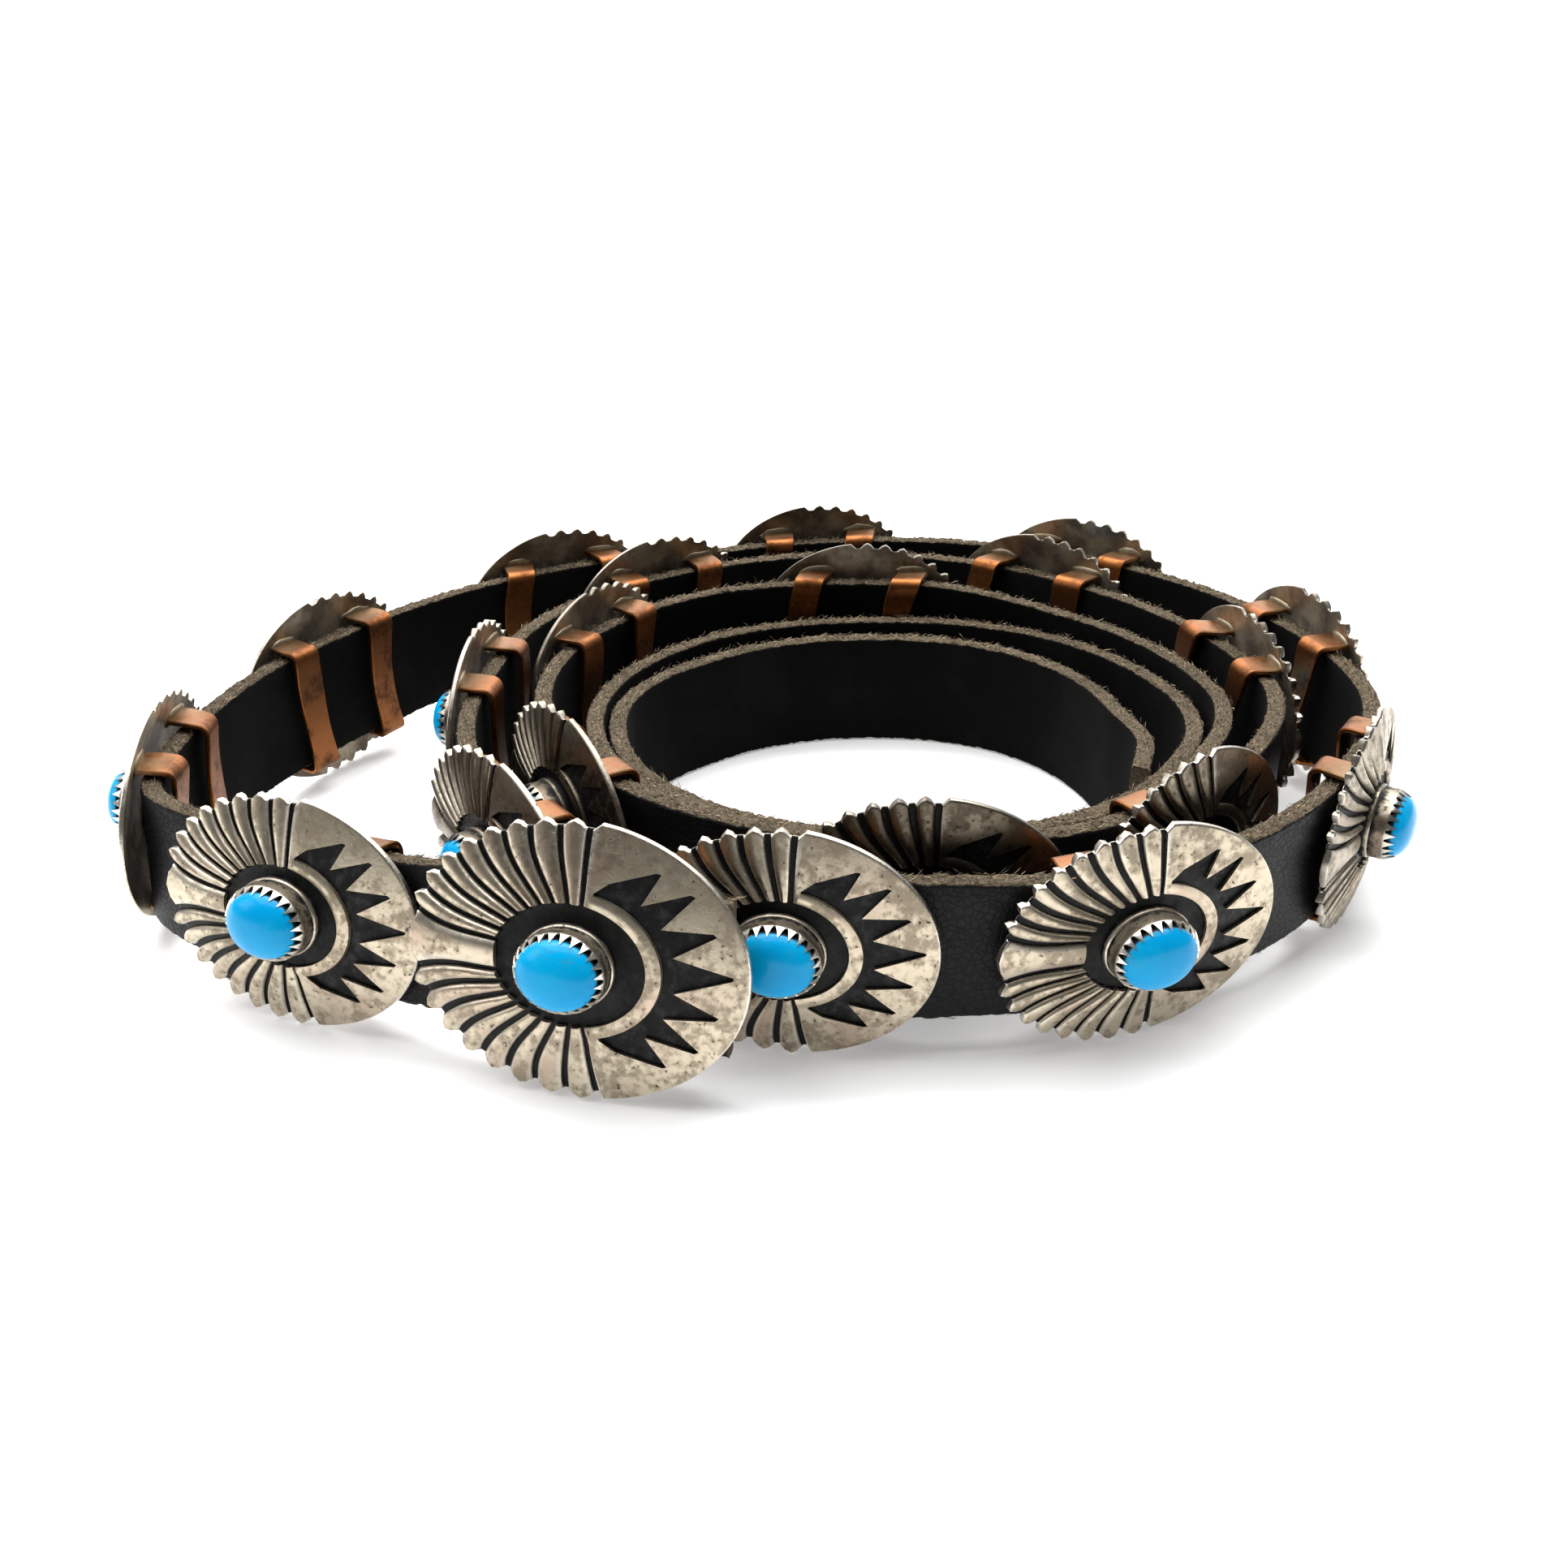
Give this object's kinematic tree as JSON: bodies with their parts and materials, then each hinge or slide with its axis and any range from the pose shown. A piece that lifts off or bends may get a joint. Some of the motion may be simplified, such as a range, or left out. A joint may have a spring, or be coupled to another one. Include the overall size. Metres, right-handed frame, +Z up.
{
  "type": "concho belt",
  "caption": "Narrow leather concho belt coiled on its edge: oval fluted silver conchos, each with a domed blue stone in a serrated bezel, threaded on by copper loops.",
  "frame": {"origin": "on the surface that the coil stands on, under the middle of its outline", "axes": "+Z up, strap on its edge; the pictured front faces -Y; +X to the right"},
  "size_m": [0.159, 0.1318, 0.0281],
  "materials": {
    "leather": "black strap leather, semi-gloss grain outside, matte suede inside, raw grey-brown cut edges",
    "silver": "aged warm silver, blackened in its grooves and cut-outs, with reddish copper loops behind",
    "turquoise": "opaque sky-blue polished cabochon with faint brown matrix"
  },
  "bodies": {
    "root": {"strap": "leather", "buckle_concho": "silver", "buckle_stone": "turquoise", "concho_01": "silver", "stone_01": "turquoise", "concho_02": "silver", "stone_02": "turquoise", "concho_03": "silver", "stone_03": "turquoise", "concho_04": "silver", "stone_04": "turquoise", "concho_05": "silver", "stone_05": "turquoise", "concho_06": "silver", "stone_06": "turquoise", "concho_07": "silver", "stone_07": "turquoise", "concho_08": "silver", "stone_08": "turquoise", "concho_09": "silver", "stone_09": "turquoise", "concho_10": "silver", "stone_10": "turquoise", "concho_11": "silver", "stone_11": "turquoise", "concho_12": "silver", "stone_12": "turquoise", "concho_13": "silver", "stone_13": "turquoise", "concho_14": "silver", "stone_14": "turquoise", "concho_15": "silver", "stone_15": "turquoise", "concho_16": "silver", "stone_16": "turquoise", "concho_17": "silver", "stone_17": "turquoise", "concho_18": "silver", "stone_18": "turquoise", "concho_19": "silver", "stone_19": "turquoise", "concho_20": "silver", "stone_20": "turquoise"}
  },
  "joints": []
}
